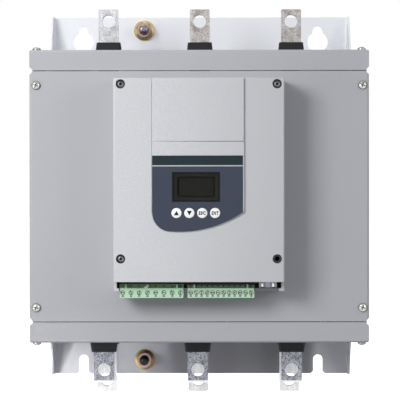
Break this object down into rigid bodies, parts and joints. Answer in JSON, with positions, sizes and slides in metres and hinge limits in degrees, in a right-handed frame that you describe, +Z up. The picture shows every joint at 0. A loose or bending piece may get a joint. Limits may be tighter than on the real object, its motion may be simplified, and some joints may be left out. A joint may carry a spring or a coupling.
{
  "type": "soft starter",
  "caption": "Grey wall-mounted soft starter for a motor with a keypad control unit, bus bars above and below, and green plug-in terminals.",
  "frame": {"origin": "centre of the mounting plate's back face", "axes": "+X to the viewer's right, +Y into the wall, +Z up"},
  "size_m": [0.32, 0.2655, 0.387],
  "materials": {
    "plate_paint": "pale bluish powder coat",
    "case_paint": "grey powder coat with a fine texture",
    "zinc_steel": "bright zinc plate",
    "nickel_screw": "nickel plate",
    "yellow_zinc": "yellow passivated zinc",
    "dark_steel": "dark oxide",
    "aluminium": "extruded",
    "module_body": "moulded",
    "tinned_copper": "dull tin plate",
    "black_plastic": "moulded",
    "transformer_blue": "cast resin",
    "light_plastic": "fine moulded texture",
    "board_green": "solder mask",
    "header_green": "moulded",
    "plug_green": "moulded",
    "film_blue": "matte printed film",
    "strip_green": "matte printed film",
    "smoked_window": "smoked",
    "display_black": "unlit",
    "key_white": "moulded",
    "brass_hex": "turned"
  },
  "bodies": {
    "chassis": {"mounting_plate": "plate_paint", "left_frame": "zinc_steel", "right_frame": "zinc_steel", "serial_socket": "zinc_steel", "front_cover": "case_paint", "top_cover": "case_paint", "bottom_cover": "case_paint", "front_cover_screws": "nickel_screw", "end_cover_screws": "nickel_screw", "module_screws": "nickel_screw", "earth_studs": "dark_steel", "control_screws": "dark_steel", "earth_nuts": "yellow_zinc", "heatsink": "aluminium", "thyristor_module_1": "module_body", "thyristor_module_2": "module_body", "thyristor_module_3": "module_body", "line_bar_1": "tinned_copper", "line_bar_2": "tinned_copper", "line_bar_3": "tinned_copper", "bypass_bar_1": "tinned_copper", "bypass_bar_2": "tinned_copper", "bypass_bar_3": "tinned_copper", "load_bar_1": "tinned_copper", "load_bar_2": "tinned_copper", "load_bar_3": "tinned_copper", "current_transformer_1": "transformer_blue", "current_transformer_2": "transformer_blue", "current_transformer_3": "transformer_blue", "top_shroud_1": "black_plastic", "top_shroud_2": "black_plastic", "top_shroud_3": "black_plastic", "bottom_shroud_1": "black_plastic", "bottom_shroud_2": "black_plastic", "bottom_shroud_3": "black_plastic", "fan_frame_1": "black_plastic", "fan_frame_2": "black_plastic", "power_board": "board_green", "control_board": "board_green", "keypad_board": "board_green", "board_standoffs": "brass_hex", "control_housing": "light_plastic", "option_cover": "light_plastic", "hmi_bezel": "light_plastic", "relay_header": "header_green", "signal_header": "header_green", "keypad_film": "film_blue", "name_strip": "strip_green", "display_window": "smoked_window", "display_module": "display_black"},
    "fan_rotor_1": {"fan_rotor_1": "black_plastic"},
    "fan_rotor_2": {"fan_rotor_2": "black_plastic"},
    "relay_plug": {"relay_plug": "plug_green", "relay_plug_screws": "zinc_steel"},
    "signal_plug": {"signal_plug": "plug_green", "signal_plug_screws": "zinc_steel"},
    "key_up": {"key_up": "key_white"},
    "key_down": {"key_down": "key_white"},
    "key_escape": {"key_escape": "key_white"},
    "key_enter": {"key_enter": "key_white"}
  },
  "joints": [
    {"name": "key_up_press", "type": "slide", "parent": "chassis", "child": "key_up", "axis": [0.0201, 0.9998, 0], "range_m": [0, 0.0008], "stiffness_N_per_m": 500, "springref_m": -0.001},
    {"name": "key_down_press", "type": "slide", "parent": "chassis", "child": "key_down", "axis": [0.0201, 0.9998, 0], "range_m": [0, 0.0008], "stiffness_N_per_m": 500, "springref_m": -0.001},
    {"name": "key_escape_press", "type": "slide", "parent": "chassis", "child": "key_escape", "axis": [0.0201, 0.9998, 0], "range_m": [0, 0.0008], "stiffness_N_per_m": 500, "springref_m": -0.001},
    {"name": "key_enter_press", "type": "slide", "parent": "chassis", "child": "key_enter", "axis": [0.0201, 0.9998, 0], "range_m": [0, 0.0008], "stiffness_N_per_m": 500, "springref_m": -0.001},
    {"name": "fan_1_spin", "type": "hinge", "parent": "chassis", "child": "fan_rotor_1", "pos_m": [-0.07, -0.046, -0.12], "axis": [0, 0, 1], "continuous": true},
    {"name": "fan_2_spin", "type": "hinge", "parent": "chassis", "child": "fan_rotor_2", "pos_m": [0.07, -0.046, -0.12], "axis": [0, 0, 1], "continuous": true},
    {"name": "relay_plug_pull", "type": "slide", "parent": "chassis", "child": "relay_plug", "axis": [0, 0, -1], "range_m": [0, 0.012]},
    {"name": "signal_plug_pull", "type": "slide", "parent": "chassis", "child": "signal_plug", "axis": [0, 0, -1], "range_m": [0, 0.012]}
  ]
}
